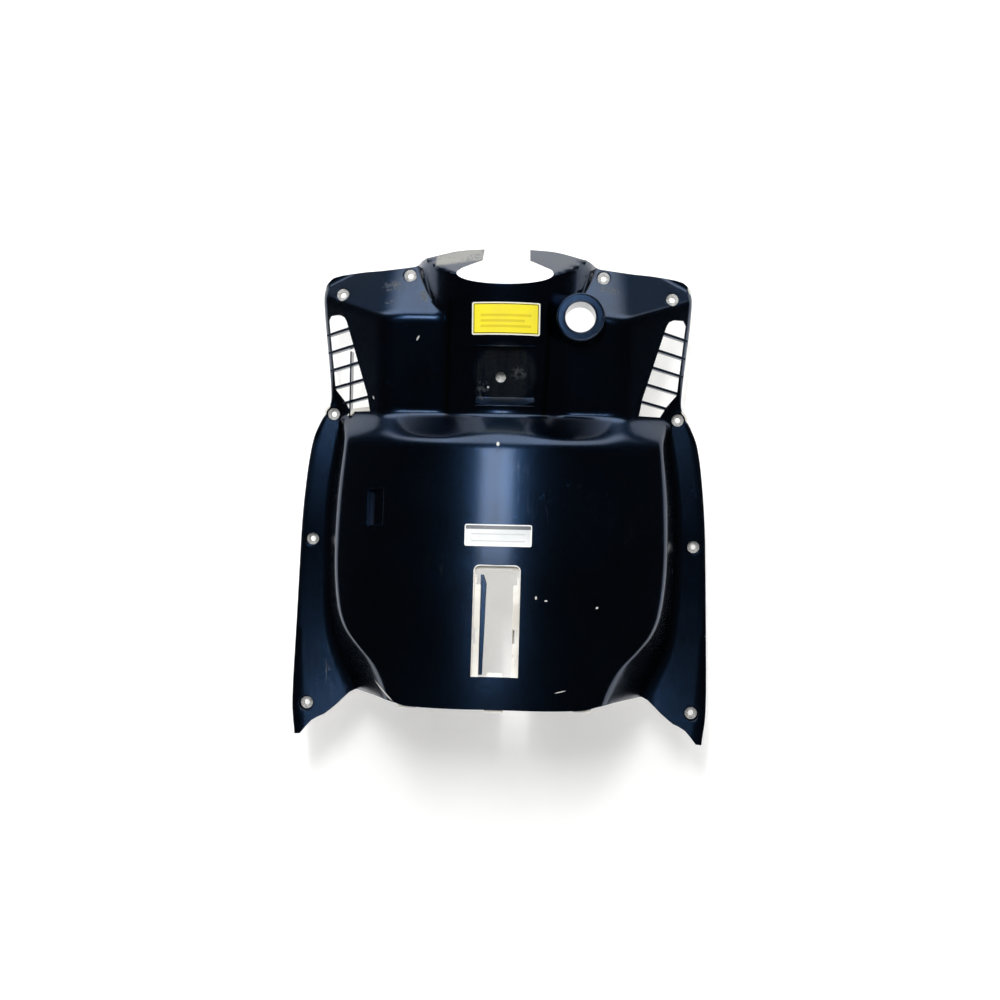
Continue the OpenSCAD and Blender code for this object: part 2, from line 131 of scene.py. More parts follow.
FRONT = [(-APRON_DROP, BULGE_W / 2 - 61), (-125, BULGE_W / 2 - 53), (-110, BULGE_W / 2 - 43),
         (-97, BULGE_W / 2 - 29), (-82, BULGE_W / 2 - 15), (-62, BULGE_W / 2 - 6), (-20, BULGE_W / 2),
         (40, BULGE_W / 2), (SHOULDER_H, BULGE_W / 2 - 4)]
LOW = [(0, -APRON_DROP), (80, -APRON_DROP - 1), (98, -APRON_DROP + 2), (132, -APRON_DROP - 1),
       (146, -APRON_DROP - 4), (160, -FOOT_SCREW_DROP), (173, -FOOT_SCREW_DROP - 10),
       (184, -FOOT_SCREW_DROP - 15), (FLANGE_W / 2 - 3.5, -FOOT_DROP)]
HIGH = [(HORN_GAP, HORN_H), (45, HORN_H - 3), (70, HORN_H - 12), (80, HORN_H - 15), (90, WING_H + 3),
        (119, WING_H), (150, WING_H - 1), (WING_W / 2 - 9, WING_H - 5), (WING_W / 2 - 2, WING_H - 12),
        (WING_W / 2, WING_H - 18)]


def edge_x(z):
    return curve(EDGE, z)


def foot_x(z):
    return curve(FOOT, z)


def front_x(z):
    return curve(FRONT, z)


# %% [markdown]
# Each face gets a function of its own, named for the place it is on the panel.

# %% The faces of the panel
def flange_d(z):
    return np.where(z < 0, 0.0009 * z * z, -0.0005 * z * z + 0.0010 * np.maximum(0, z - BLOCK_H) ** 2)


def crown_d(x, z):
    return BULGE_OUT - BULGE_LEAN * z - x * x / (2 * BULGE_R)


def arc_d(x):
    return NECK_R - np.sqrt(np.maximum(9, NECK_R * NECK_R - x * x))


def neck_d(x, z):
    return NECK_OUT + BLOCK_LEAN * (z - BLOCK_H) - arc_d(x)


def wing_d(x, z):
    return WING_OUT + BLOCK_LEAN * (z - BLOCK_H) + 0 * x


def side_d(x, z):
    return wing_d(x, z) - SIDE_FALL * (x - RIDGE_X)


def shelf_d(x, z):
    return (wing_d(x, SHELF_H) - SHELF_FALL * (z - SHELF_H)
            - SHELF_SKEW * smax(np.zeros_like(x), x - RIDGE_X + 8, 14))


def collar_d(x, z):
    return neck_d(np.zeros_like(x), COLLAR_H) - COLLAR_FALL * (z - COLLAR_H)


def block_d(x, z):
    wings = smin(smin(wing_d(x, z), side_d(x, z), 8), shelf_d(x, z))
    return smax(wings, smin(neck_d(x, z), collar_d(x, z), 2))


def wall_d(x, z):
    f, e, low = foot_x(z), front_x(z), flange_d(z)
    return low + (f - x) / (f - e) * (crown_d(e, z) - low)


def shoulder_d(x, z):
    top = np.full_like(z, BLOCK_H)
    c = crown_d(x, SHOULDER_H)
    b = np.maximum(block_d(x, top), flange_d(top))
    return c - (z - SHOULDER_H) * (c - b) / (BLOCK_H - SHOULDER_H)


def bulge_d(x, z):
    return smin(smin(crown_d(x, z), shoulder_d(x, z), WALL_BLEND), wall_d(x, z), WALL_BLEND)


def face_d(x, z):
    """How far the painted face stands out at x, z."""
    x, z = np.asarray(x, float), np.asarray(z, float)
    x, z = np.broadcast_arrays(x, z)
    a = np.abs(x)
    low = smax(flange_d(z), bulge_d(a, z))
    rim = -RIM_ROLL * np.maximum(0, a - edge_x(z) + 4) ** 2
    return rim + np.where(z < BLOCK_H - 12, low, smax(low, block_d(a, z)))


def slope(x, z, h=0.4):
    x, z = np.asarray(x, float), np.asarray(z, float)
    return ((face_d(x + h, z) - face_d(x - h, z)) / (2 * h),
            (face_d(x, z + h) - face_d(x, z - h)) / (2 * h))


def back_d(x, z):
    gx, gz = slope(x, z, 1.0)
    return face_d(x, z) - SHEET_T * np.minimum(3, np.sqrt(1 + gx * gx + gz * gz))


def spot(x, z, lift=0.0):
    """The place on the painted face at x, z, raised by lift, in millimetres."""
    gx, gz = slope(x, z)
    n = math.sqrt(1 + float(gx) ** 2 + float(gz) ** 2)
    out = Vector((-float(gx) / n, -1 / n, -float(gz) / n))
    return Vector((x, -float(face_d(x, z)), z)) + out * lift, out


print("crown at the screws stands out", round(float(face_d(0, 0)), 1), "mm")

# %% [markdown]
# The net that carries the sheet has its columns along the outline, the walls of the bulge and
# the ridges of the wings, and its rows along the shoulder and the shelf. So creases run along
# the net and stay clean. The same net is drawn at the back, one wall thickness behind.

# %% The net
STEPS = [10, 10, 14, 12, 16]
LEVELS = [60, 12, 36, 24]


def neck_x(z):
    rise = np.maximum(0, z - SHELF_H)
    deep = NECK_OUT - WING_OUT + (BLOCK_LEAN + SHELF_FALL) * rise
    return np.sqrt(NECK_R ** 2 - np.maximum(0, NECK_R - deep) ** 2)


def line_x(k, z):
    up_share = np.clip((z - SHOULDER_H) / (BLOCK_H - SHOULDER_H), 0, 1)
    if k == 0:
        return edge_x(z)
    if k == 1:
        return foot_x(z) * (1 - up_share) + (edge_x(z) - 10) * up_share
    if k == 2:
        return front_x(z) * (1 - up_share) + 144 * up_share
    if k == 3:
        return np.minimum(RIDGE_X, line_x(2, z) - 14)
    return neck_x(z) if k == 4 else np.zeros_like(z)


HALF = sum(STEPS)


def col_x(j, z):
    if j > HALF:
        return -col_x(2 * HALF - j, z)
    k = 0
    while j > STEPS[k] and k < len(STEPS) - 1:
        j, k = j - STEPS[k], k + 1
    t = j / STEPS[k]
    return line_x(k, z) * (1 - t) + line_x(k + 1, z) * t


def shelf_z(x):
    if x < float(neck_x(np.array(0.0))) - 1:
        return COLLAR_H + float(arc_d(x)) / (BLOCK_LEAN + COLLAR_FALL)
    return SHELF_H + 22 * max(0.0, x - RIDGE_X) / (WING_W / 2 - RIDGE_X)


def net_points():
    xs, zs = [], []
    for j in range(2 * HALF + 1):
        at = [abs(float(col_x(j, np.array(h)))) for h in (-APRON_DROP, SHELF_H, WING_H - 8)]
        stops = [float(curve(LOW, at[0])), SHOULDER_H, BLOCK_H, shelf_z(at[1]), float(curve(HIGH, at[2]))]
        z = np.concatenate([np.linspace(stops[k], stops[k + 1], n, endpoint=False)
                            for k, n in enumerate(LEVELS)] + [[stops[-1]]])
        zs.append(z)
        xs.append(col_x(j, z))
    return np.array(xs).T, np.array(zs).T


def closed_skin(front, back):
    """One closed mesh from two sheets of points, each with m rows of n points."""
    m, n = front.shape[:2]
    o = m * n
    a = (np.arange(m - 1)[:, None] * n + np.arange(n - 1)).ravel()
    faces = np.concatenate([np.stack([a, a + 1, a + n + 1, a + n], 1),
                            np.stack([a, a + n, a + n + 1, a + 1], 1) + o])
    j = np.arange(n - 1)
    b = (m - 1) * n + j
    i = np.arange(m - 1) * n
    c = i + n - 1
    rims = np.concatenate([np.stack([j, j + o, j + 1 + o, j + 1], 1), np.stack([b, b + 1, b + 1 + o, b + o], 1),
                           np.stack([i, i + n, i + n + o, i + o], 1), np.stack([c, c + o, c + n + o, c + n], 1)])
    verts = np.concatenate([front.reshape(-1, 3), back.reshape(-1, 3)])
    return verts, faces, rims, len(a)


def new_object(name, verts, faces, inks=None):
    mesh = bpy.data.meshes.new(name)
    mesh.from_pydata((np.asarray(verts) * MM).tolist(), [], np.asarray(faces).tolist()
                     if not isinstance(faces, list) else faces)
    if inks is not None:
        mesh.polygons.foreach_set("material_index", np.asarray(inks, dtype=np.int32))
    obj = bpy.data.objects.new(name, mesh)
    bpy.context.collection.objects.link(obj)
    return obj


# %% The sheet
nx, nz = net_points()
front = np.stack([nx, -face_d(nx, nz), nz], -1)
rear = np.stack([nx, -back_d(nx, nz), nz], -1)
verts, faces, rims, count = closed_skin(front, rear)
inks = [0] * count + [1] * count + [0] * len(rims)
panel = new_object("inner_panel_moulding", verts, np.concatenate([faces, rims]), inks)
print("sheet:", len(panel.data.vertices), "points")

# %% [markdown]
# Bosses, walls and slats are joined to the sheet, and wells, bores and openings are cut from
# it, as the mould would shape them. Blender's exact Manifold solver does this. The small tools
# are joined with one another first, so the fine sheet is cut only three times: the openings,
# then everything that is added, then the bores. A face that a cutter leaves takes the cutter's
# own finish: 0 is lacquer and 1 is raw plastic.

# %% The two finishes of the moulding, filled in later
paint = bpy.data.materials.new("navy_lacquer")
raw = bpy.data.materials.new("raw_plastic")
for m in (paint, raw):
    panel.data.materials.append(m)


# %% Tools that join and cut
def join(target, tool, how):
    m = target.modifiers.new(how, "BOOLEAN")
    m.operation, m.solver, m.object = how, "MANIFOLD", tool
    dg = bpy.context.evaluated_depsgraph_get()
    mesh = bpy.data.meshes.new_from_object(target.evaluated_get(dg))
    target.modifiers.clear()
    old = target.data
    target.data = mesh
    bpy.data.meshes.remove(old)
    made = tool.data
    bpy.data.objects.remove(tool)
    bpy.data.meshes.remove(made)


def joined(tools):
    """Many small tools as one solid."""
    while len(tools) > 1:
        join(tools[0], tools[1], "UNION")
        tools = tools[2:] + tools[:1]
    return tools[0]


openings, added, bores = [], [], []


def prism(outline, a, b, place=Matrix.Identity(4), side_ink=0, end_ink=1):
    """An outline in x and z, pushed from depth a to depth b, in millimetres, then placed."""
    n = len(outline)
    area = sum(outline[i][0] * outline[(i + 1) % n][1] - outline[(i + 1) % n][0] * outline[i][1]
               for i in range(n))
    if area < 0:
        outline = outline[::-1]
    if place.determinant() < 0:
        outline = outline[::-1]
    pts = [place @ Vector((x, y, z)) for y in (a, b) for x, z in outline]
    walls = [[i, i + n, (i + 1) % n + n, (i + 1) % n] for i in range(n)]
    polys = [list(range(n)), list(range(2 * n - 1, n - 1, -1))] + walls
    return tool_of(pts, polys, [end_ink] * 2 + [side_ink] * n)


def tool_of(pts, polys, inks):
    obj = new_object("tool", [list(p) for p in pts], polys, inks)
    for m in (paint, raw):
        obj.data.materials.append(m)
    return obj


def circle(x, z, r, n=64):
    return [(x + r * math.cos(2 * math.pi * i / n), z + r * math.sin(2 * math.pi * i / n)) for i in range(n)]


def peg(x, z, r, a, b, side_ink=0, end_ink=1, n=64):
    """A round tool along the depth, from a to b out from the flanges."""
    return prism(circle(x, z, r, n), -b, -a, side_ink=side_ink, end_ink=end_ink)


def tilt(gx, gz, at):
    turn = (Matrix.Rotation(math.atan(gz), 4, "X")
            @ Matrix.Rotation(math.atan(-gx / math.sqrt(1 + gz * gz)), 4, "Z"))
    return Matrix.Translation(at) @ turn


def on_face(x, z):
    gx, gz = slope(x, z, 1.0)
    return tilt(float(gx), float(gz), Vector((x, -float(face_d(x, z)), z)))


def box_outline(x0, z0, x1, z1):
    return [(x0, z0), (x1, z0), (x1, z1), (x0, z1)]


def rounded(x0, z0, x1, z1, r, n=6):
    out = []
    for cx, cz, start in ((x1 - r, z0 + r, -90), (x1 - r, z1 - r, 0), (x0 + r, z1 - r, 90), (x0 + r, z0 + r, 180)):
        for i in range(n + 1):
            t = math.radians(start + 90 * i / n)
            out.append((cx + r * math.cos(t), cz + r * math.sin(t)))
    return out


# %% Frames on the leaning faces
ON_NECK = tilt(0, BLOCK_LEAN, Vector((2.0, -float(neck_d(0.0, 140.0)), 140.0)))
SLOT_TOP = -16.0
ON_BULGE = tilt(0, -BULGE_LEAN, Vector((0, -float(crown_d(0.0, SLOT_TOP)), SLOT_TOP)))
ON_SIDE = tilt(-SIDE_FALL, BLOCK_LEAN, Vector((RIDGE_X, -float(wing_d(0.0, BLOCK_H)), BLOCK_H)))
FLIP = Matrix.Scale(-1, 4, Vector((1, 0, 0)))
print("frames ready")

# %% [markdown]
# The service slot has a raised wall behind the sheet, a ledge that a cover snaps onto, and
# deeper side walls with two latch notches. All of it is raw plastic, because the lacquer was
# sprayed from the front with the slot masked. Only the blade at the left, of which the
# photograph shows a dark edge, is lacquered.

# %% The service slot
SLOT_W, SLOT_H, LEDGE_W, LEDGE_DEPTH, SLOT_WALL = 42.0, 101.0, 6.0, 4.0, 14.0


def slot_outline(grow=0.0):
    w, r = SLOT_W / 2 + grow, 5.0 + grow
    pts = [(-w, -SLOT_H - grow), (w, -SLOT_H - grow)]
    for cx, start in ((w - r, 0), (-w + r, 90)):
        for i in range(9):
            t = math.radians(start + 90 * i / 8)
            pts.append((cx + r * math.cos(t), grow - r + r * math.sin(t)))
    return pts


low = LEDGE_DEPTH + 2
inner = SLOT_W / 2 - LEDGE_W
openings.append(prism(slot_outline(), -20, 60, ON_BULGE, 1, 1))
ring = prism(slot_outline(2.0), SHEET_T * 0.7, low, ON_BULGE, 1, 1)
join(ring, prism(slot_outline(), -1, 60, ON_BULGE, 1, 1), "DIFFERENCE")
added.append(ring)
for side in (-1, 1):
    x0, x1 = sorted((side * inner, side * (SLOT_W / 2 + 1)))
    added.append(prism(box_outline(x0, -SLOT_H, x1, -17), LEDGE_DEPTH, low, ON_BULGE, 1, 1))
    x0, x1 = sorted((side * inner, side * (inner + 2)))
    added.append(prism(box_outline(x0, -SLOT_H, x1, -17), LEDGE_DEPTH, SLOT_WALL, ON_BULGE, 1, 1))
added.append(prism(box_outline(-SLOT_W / 2, -4, SLOT_W / 2, 1), LEDGE_DEPTH, low, ON_BULGE, 1, 1))
added.append(prism(box_outline(-7, -SLOT_H - 1, 7, -SLOT_H + 4), LEDGE_DEPTH, low, ON_BULGE, 1, 1))
for x0, x1 in ((-SLOT_W / 2 - 0.5, -SLOT_W / 2 + 2.6), (SLOT_W / 2 - 5.6, SLOT_W / 2 - 2.6)):
    latch = box_outline(x0, -70.5, x1, -58)
    bores.append(prism(latch, 1, LEDGE_DEPTH + 9, ON_BULGE, 1, 1))
for side in (-1, 1):
    x0, x1 = sorted((side * (SLOT_W / 2 - 2.5), side * (SLOT_W / 2 + 1)))
    added.append(prism(box_outline(x0, -17.5, x1, -9), LEDGE_DEPTH, low, ON_BULGE, 1, 1))
guard = [(-15.5, -7), (-12.5, -7), (-9.8, -15), (-11.6, -SLOT_H + 2), (-15.5, -SLOT_H + 2)]
added.append(prism(guard, 11.5, SLOT_WALL, ON_BULGE, 0, 0))
print("slot:", len(added), "walls and ledges")

# %% [markdown]
# The vents are windows in the receding sides of the wings. Behind the left one stands a thin
# rib, with a little raw plastic at its foot.

# %% The vents
def vent_in(z):
    return RIDGE_X + 42 - (215 - z) * 0.31


def vent_out(z):
    return float(edge_x(np.array(float(z)))) - 5


window = ([(vent_in(215) + 8, 223), (vent_in(215) + 3, 220.5)] + [(vent_in(z), z) for z in range(216, 143, -18)]
          + [(vent_in(135), 128), (vent_in(135) + 22, 128), (vent_out(139) - 10, 139)]
          + [(vent_out(z), z) for z in range(151, 220, 17)] + [(vent_out(222) - 3, 223.5)])
for turn in (Matrix.Identity(4), FLIP):
    pts = [((turn @ Vector((x, 0, z))).x, z) for x, z in window]
    openings.append(prism(pts, -80, 80))
rib = prism(box_outline(-155.0, 122, -153.6, 188), -3, 12, side_ink=0, end_ink=0)
foot = prism([(-157, 124), (-133, 124), (-135, 133), (-151, 131)], -3, -0.6, side_ink=1, end_ink=1)
added += [rib, foot]
print("two vent windows of", len(window), "corners")

# %% [markdown]
# Each of the ten screws sits in a well: a boss behind the sheet, a lacquered wall, and a seat
# at its bottom where the screw head rubbed down to the raw plastic.

# %% Screw wells
def half_space(x, z, sink):
    m = on_face(x, z)
    return prism(box_outline(-30, -30, 30, 30), sink, 60, m)


for sx, sz in SCREWS:
    for side in (-1, 1):
        x = side * sx
        seat = float(face_d(x, sz)) - WELL_DEPTH
        boss = peg(x, sz, WELL_R + 2, seat - SHEET_T, seat + 20, 1, 1)
        join(boss, half_space(x, sz, SHEET_T / 2), "INTERSECT")
        added.append(boss)
        bores.append(peg(x, sz, WELL_R, seat, seat + 30, 0, 0))
        bores.append(peg(x, sz, SCREW_R, seat - 20, seat + 1, 1, 1, 32))
print("ten wells:", len(bores), "bores so far")

# %% [markdown]
# The lock boss is a short cone beside the neck. The hook recess is a flat-bottomed box cut
# into the neck, with a bevelled foot, and the small pocket is the same on the bulge's left.

# %% Lock boss, hook recess, pocket and notch
LOCK_X, LOCK_Z, LOCK_R, LOCK_BOSS_R, LOCK_OUT = 72.0, 217.0, 14.5, 22.5, 67.0


def cone(x, z, r1, r2, a, b, n=96):
    pts = [(x + r * math.cos(2 * math.pi * i / n), -d, z + r * math.sin(2 * math.pi * i / n))
           for r, d in ((r2, b), (r1, a)) for i in range(n)]
    walls = [[i, i + n, (i + 1) % n + n, (i + 1) % n] for i in range(n)]
    return tool_of(pts, [list(range(n)), list(range(2 * n - 1, n - 1, -1))] + walls, [0] * (n + 2))


lock_back = float(wing_d(0.0, LOCK_Z)) - 22
added.append(cone(LOCK_X, LOCK_Z, LOCK_BOSS_R + 4, LOCK_BOSS_R, lock_back, LOCK_OUT))
bores.append(peg(LOCK_X, LOCK_Z, LOCK_R, 0, LOCK_OUT + 1, 0, 0, 96))

RECESS_W, RECESS_H, RECESS_DEPTH, HOOK_R = 56.0, 50.0, 9.0, 5.0
half_w = RECESS_W / 2 + 2
backing = prism(box_outline(-half_w, -10, half_w, RECESS_H + 4), 0, RECESS_DEPTH + SHEET_T, ON_NECK, 1, 1)
drum = prism(circle(-2, NECK_R, NECK_R - SHEET_T / 2, 160), -100, 20,
             ON_NECK @ Matrix.Rotation(math.radians(-90), 4, "X"))
join(backing, drum, "INTERSECT")
added.append(backing)
bores.append(prism(box_outline(-RECESS_W / 2, 0, RECESS_W / 2, RECESS_H), -10, RECESS_DEPTH, ON_NECK, 0, 0))
bevel = [(-10, 1), (RECESS_DEPTH, 1), (RECESS_DEPTH, 0), (0, -7), (-10, -7)]
side_on = Matrix(((0, 1, 0, 0), (1, 0, 0, 0), (0, 0, 1, 0), (0, 0, 0, 1)))
bores.append(prism(bevel, -RECESS_W / 2, RECESS_W / 2, ON_NECK @ side_on, 0, 0))
bores.append(prism(circle(-4.5, 19.5, HOOK_R), 0, 30, ON_NECK, 0, 0))

POCKET_X, POCKET_Z, POCKET_W, POCKET_H, POCKET_DEPTH = -119.0, 35.0, 17.5, 35.5, 6.0
on_pocket = on_face(POCKET_X, POCKET_Z)
added.append(prism(box_outline(-POCKET_W / 2 - 2, -POCKET_H / 2 - 2, POCKET_W / 2 + 2, POCKET_H / 2 + 2),
                  SHEET_T / 2, POCKET_DEPTH + SHEET_T, on_pocket, 1, 1))
bores.append(prism(rounded(-POCKET_W / 2, -POCKET_H / 2, POCKET_W / 2, POCKET_H / 2, 2.5),
                  -10, POCKET_DEPTH, on_pocket, 0, 0))

base = COLLAR_H + 9
notch = ([(NOTCH_X * math.cos(t), base - 12 * math.sin(t)) for t in np.radians(np.arange(0, 181, 5))]
         + [(-NOTCH_X + 1.5, base + 5), (-HORN_GAP - 1, base + 17), (-HORN_GAP, HORN_H + 9),
            (HORN_GAP, HORN_H + 9), (HORN_GAP + 1, base + 17), (NOTCH_X - 1.5, base + 5)])
bores.append(prism(notch, -120, 60, side_ink=0))
print("tools so far:", len(added), "to add,", len(bores), "to cut")

# %% [markdown]
# Tabs under the lower edge hook under the floor board. Like the turned lips of the flanges
# they are raw plastic.

# %% Tabs and lips
TAB_X, LIP_W, LIP_DEPTH, LIP_TURN = 81.0, 22.0, 9.0, math.radians(-43)
for x in (-TAB_X, 0.0, TAB_X):
    tab = box_outline(-8.5, -8.6, 8.5, 1.5)
    added.append(prism(tab, SHEET_T / 2, SHEET_T * 2, on_face(x, -APRON_DROP + 6), 1, 1))
for side in (-1, 1):
    lip = [(-10 + u * math.cos(LIP_TURN) - v * math.sin(LIP_TURN),
            4.5 + u * math.sin(LIP_TURN) + v * math.cos(LIP_TURN))
           for u, v in ((0, 0), (LIP_W, 0), (LIP_W, 2.5), (0, 2.5))]
    tool = prism(lip, SHEET_T / 2, LIP_DEPTH, on_face(166.0, -FOOT_SCREW_DROP), 1, 1)
    if side < 0:
        tool.data.transform(FLIP)
        tool.data.flip_normals()
    added.append(tool)
join(panel, joined(openings), "DIFFERENCE")
join(panel, joined(added), "UNION")
join(panel, joined(bores), "DIFFERENCE")
print("panel:", len(panel.data.polygons), "faces")

# %% [markdown]
# Gloss paint shows every facet of a mesh. The formula knows the true slope at each place, so
# the corners of the painted face get their shading direction from it. All other faces are
# smooth where they meet at a shallow angle and sharp where they don't.

# %% Shading directions
def shade(obj, angle=32.0, exact=True):
    mesh = obj.data
    mesh.shade_smooth()
    bm = bmesh.new()
    bm.from_mesh(mesh)
    limit = math.radians(angle)
    for e in bm.edges:
        e.smooth = len(e.link_faces) == 2 and e.calc_face_angle(0.0) < limit
    bm.to_mesh(mesh)
    bm.free()
    if not exact:
        return
    n_loops = len(mesh.loops)
    normals = np.empty(n_loops * 3, dtype=np.float32)
    mesh.corner_normals.foreach_get("vector", normals)
    normals = normals.reshape(-1, 3).astype(float)
    co = np.empty(len(mesh.vertices) * 3)
    mesh.vertices.foreach_get("co", co)
    co = co.reshape(-1, 3) / MM
    v_of = np.empty(n_loops, dtype=np.int32)
    mesh.loops.foreach_get("vertex_index", v_of)
    sizes = np.empty(len(mesh.polygons), dtype=np.int32)
    mesh.polygons.foreach_get("loop_total", sizes)
    flat = np.empty(len(mesh.polygons) * 3)
    mesh.polygons.foreach_get("normal", flat)
    flat = np.repeat(flat.reshape(-1, 3), sizes, axis=0)
    gx, gz = slope(co[:, 0], co[:, 2])
    size = np.sqrt(1 + gx * gx + gz * gz)
    true = np.stack([-gx / size, -1 / size, -gz / size], 1)
    near = np.abs(-co[:, 1] - face_d(co[:, 0], co[:, 2])) < 0.12 * size
    pick = near[v_of] & ((flat * true[v_of]).sum(1) > 0.8)
    normals[pick] = true[v_of][pick]
    mesh.normals_split_custom_set(normals.tolist())
    print(obj.name, "corners shaded from the formula:", int(pick.sum()), "of", n_loops)


shade(panel)

# %% [markdown]
# Shader maths reads best as plain expressions. A small class wraps a socket, so that
# 1 - mask * 0.5 adds the nodes it needs, and one method makes every other node.

# %% A pen for shader nodes
class Wire:
    """A number that varies over a surface, written with ordinary operators."""

    def __init__(self, ink, socket):
        self.ink, self.socket = ink, socket

    def _math(self, operation, a, b=None, c=None):
        inputs = {i: v for i, v in enumerate((a, b, c)) if v is not None}
        return self.ink.node("ShaderNodeMath", inputs, operation=operation)

    def __add__(self, o): return self._math("ADD", self, o)
    def __radd__(self, o): return self._math("ADD", o, self)
    def __sub__(self, o): return self._math("SUBTRACT", self, o)
    def __rsub__(self, o): return self._math("SUBTRACT", o, self)
    def __mul__(self, o): return self._math("MULTIPLY", self, o)
    def __rmul__(self, o): return self._math("MULTIPLY", o, self)
    def __truediv__(self, o): return self._math("DIVIDE", self, o)
    def __abs__(self): return self._math("ABSOLUTE", self)
    def least(self, o): return self._math("MINIMUM", self, o)
    def most(self, o): return self._math("MAXIMUM", self, o)

    def ease(self, a, b):
        """0 before a and 1 after b, smoothly; also with a above b."""
        if a > b:
            return 1 - self.ease(b, a)
        return self.ink.node("ShaderNodeMapRange", {"Value": self, "From Min": a, "From Max": b},
                             interpolation_type="SMOOTHSTEP", clamp=True)


class Ink:
    """One material, or the world, and the nodes that are added to it."""

    def __init__(self, name, world=None):
        """A material by its name, or the world's surface; a material that exists is filled in."""
        self.material = world or bpy.data.materials.get(name) or bpy.data.materials.new(name)
        self.material.use_nodes = True
        self.tree = self.material.node_tree
        self.tree.nodes.clear()
        self.end = self.tree.nodes.new("ShaderNodeOutputWorld" if world else "ShaderNodeOutputMaterial")
        self.coord = self.node("ShaderNodeTexCoord", out="Generated" if world else "Object")
        split = self.tree.nodes.new("ShaderNodeSeparateXYZ")
        self.tree.links.new(self.coord.socket, split.inputs[0])
        self.x, self.y, self.z = [Wire(self, s) * 1000.0 for s in split.outputs]

    def node(self, kind, inputs=(), out=0, **settings):
        n = self.tree.nodes.new(kind)
        for key, value in settings.items():
            setattr(n, key, value)
        for key, value in dict(inputs).items():
            s = n.inputs[key]
            if isinstance(value, Wire):
                self.tree.links.new(value.socket, s)
            elif isinstance(value, (tuple, list)) and len(value) == 3 and s.type == "RGBA":
                s.default_value = (*value, 1)
            else:
                s.default_value = value
        return Wire(self, n.outputs[out])

    def mix(self, a, b, mask):
        n = self.tree.nodes.new("ShaderNodeMix")
        n.data_type = "RGBA"
        for s, value in ((n.inputs[0], mask), (n.inputs[6], a), (n.inputs[7], b)):
            if isinstance(value, Wire):
                self.tree.links.new(value.socket, s)
            elif isinstance(value, (tuple, list)):
                s.default_value = (*value, 1)
            else:
                s.default_value = value
        return Wire(self, n.outputs[2])

    def noise(self, scale, detail=2.0, rough=0.5, stretch=None, out=0):
        """Cloudy noise with scale features a metre, drawn out along an axis by stretch."""
        place = self.coord
        if stretch:
            place = self.node("ShaderNodeMapping", {"Vector": place, "Scale": stretch})
        return self.node("ShaderNodeTexNoise", {"Vector": place, "Scale": scale, "Detail": detail,
                                                "Roughness": rough}, out=out)

    def spot(self, x, z, rx, rz, turn=0.0, soft=0.35):
        """1 inside an oval around x, z on the panel, in millimetres."""
        c, s = math.cos(math.radians(turn)), math.sin(math.radians(turn))
        dx, dz = self.x - x, self.z - z
        u, v = (dx * c + dz * s) / rx, (dz * c - dx * s) / rz
        return (u * u + v * v).ease(1 + soft, 1 - soft)

    def spots(self, places, soft=0.35):
        """1 inside any of several ovals, each (x, z, rx, rz, turn)."""
        mask = self.spot(*places[0], soft)
        for place in places[1:]:
            mask = mask.most(self.spot(*place, soft))
        return mask

    def surface(self, bump=None, strength=0.2, reach=0.001, **inputs):
        """Ends the material in one shader."""
        wires = {k.replace("_", " "): v for k, v in inputs.items()}
        if bump is not None:
            wires["Normal"] = self.node("ShaderNodeBump", {"Height": bump, "Strength": strength,
                                                           "Distance": reach})
        shader = self.node("ShaderNodeBsdfPrincipled", wires)
        self.tree.links.new(shader.socket, self.end.inputs[0])
        return self.material


def rgb(r, g, b):
    """A colour as it is seen, 0 to 255, made linear."""
    return tuple(((c / 255 + 0.055) / 1.055) ** 2.4 if c > 10 else c / 255 / 12.92 for c in (r, g, b))


# %% [markdown]
# The lacquer is a dark navy with fine flakes under a clear coat. It could be a plain dark blue
# with gloss, but then the soft blue glow in the middle would be white: flakes mirror the light in
# their own colour, so the base is metallic and the coat on top is weak. Chips, scuffed patches
# and the worn left horn lie at set places, given here in millimetres. On the wing shelves the grey
# of the scuffed patches is partly a painted reflection of the bright sky.

# %% Where the paint is worn
CHIPS = [(-2.6, 96.3, 1.4, 1.9, 0), (36.1, -44.4, 0.9, 1.5, 0), (45.3, -47.0, 1.4, 0.7, 0),
         (92.5, -53.5, 1.3, 0.9, 20), (-14.5, 151.4, 1.0, 1.0, 0), (182.0, 254.0, 1.6, 4.5, 25),
         (-103.0, -134.5, 12.0, 0.8, -37), (-83.0, 197.5, 0.8, 2.6, -30), (-128.0, 141.0, 0.7, 1.6, 20),
         (60.0, -128.0, 5.0, 0.4, 12), (-30.0, 266.0, 1.2, 0.8, 0)]
# Scuffed, hazy patches; on the wing shelves their grey also stands in for a painted reflection of the bright sky
HAZE_AND_SHEEN = [(-111.9, 251.0, 9.0, 5.5, 20), (-112.8, 233.0, 4.0, 2.0, 10), (-79.0, 239.3, 3.0, 7.0, 20),
        (-20.0, 150.0, 6.0, 9.0, 0), (100.0, 248.0, 11.0, 3.5, -15), (14.0, 165.0, 8.0, 6.0, 0)]
print(len(CHIPS), "chips and", len(HAZE_AND_SHEEN), "scuffed places")
